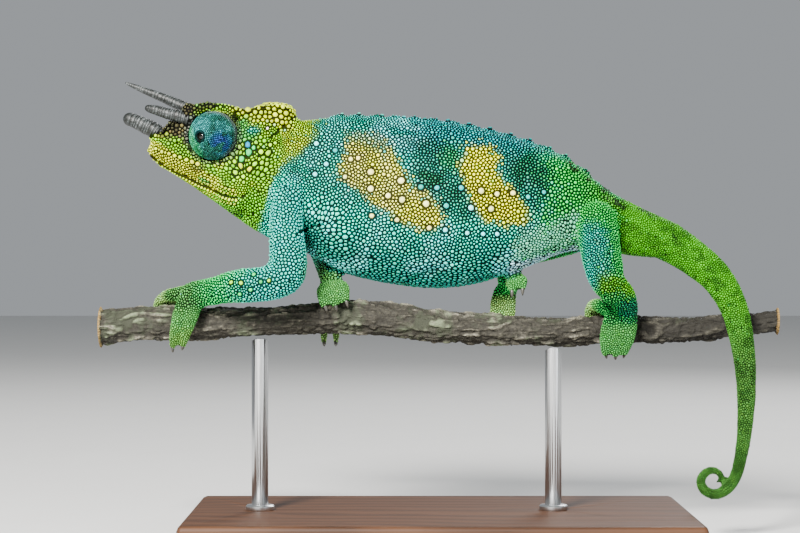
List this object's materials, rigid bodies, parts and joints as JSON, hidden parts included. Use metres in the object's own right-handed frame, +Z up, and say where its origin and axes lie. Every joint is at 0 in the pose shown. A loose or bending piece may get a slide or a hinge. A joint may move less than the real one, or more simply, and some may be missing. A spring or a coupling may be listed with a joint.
{
  "type": "jacksons chameleon",
  "caption": "Male Jackson's chameleon with horns and a low casque, walking along a cut perch with its tail hanging in a curl, as a still museum model on a flat base with short rods.",
  "frame": {"origin": "on the floor, under the middle of the stand's base and of the whole model's box", "axes": "+X along the perch from head to tail, -Y towards the animal's left side, +Z up"},
  "size_m": [0.204, 0.086, 0.1369],
  "materials": {
    "skin_head": "scaly skin, yellow-green with dark gaps",
    "skin_body": "scaly skin, turquoise with yellow patches",
    "skin_tail": "scaly skin, bright green",
    "skin_limb": "scaly skin, turquoise to green",
    "eye_skin": "fine granular skin, blue-green",
    "eyeball": "wet gloss",
    "horn": "dry ringed horn, grey",
    "bark": "rough grey-brown bark with lichen",
    "base_wood": "satin dark wood",
    "rod_steel": "satin steel"
  },
  "bodies": {
    "root": {"head": "skin_head", "lower_jaw": "skin_head", "neck": "skin_body", "torso": "skin_body", "tail_base": "skin_tail", "tail_middle": "skin_tail", "tail_end": "skin_tail", "tail_curl": "skin_tail", "front_left_upper_arm": "skin_limb", "front_left_forearm": "skin_limb", "front_left_outer_toes": "skin_limb", "front_left_inner_toes": "skin_limb", "front_right_upper_arm": "skin_limb", "front_right_forearm": "skin_limb", "front_right_outer_toes": "skin_limb", "front_right_inner_toes": "skin_limb", "hind_left_thigh": "skin_limb", "hind_left_shin": "skin_limb", "hind_left_outer_toes": "skin_limb", "hind_left_inner_toes": "skin_limb", "hind_right_thigh": "skin_limb", "hind_right_shin": "skin_limb", "hind_right_outer_toes": "skin_limb", "hind_right_inner_toes": "skin_limb", "eye_turret_left": "eye_skin", "eye_turret_right": "eye_skin", "eyeball_left": "eyeball", "eyeball_right": "eyeball", "horn_rostral": "horn", "horn_left": "horn", "horn_right": "horn", "perch": "bark", "stand_base": "base_wood", "stand_rod_front": "rod_steel", "stand_rod_back": "rod_steel"}
  },
  "joints": []
}
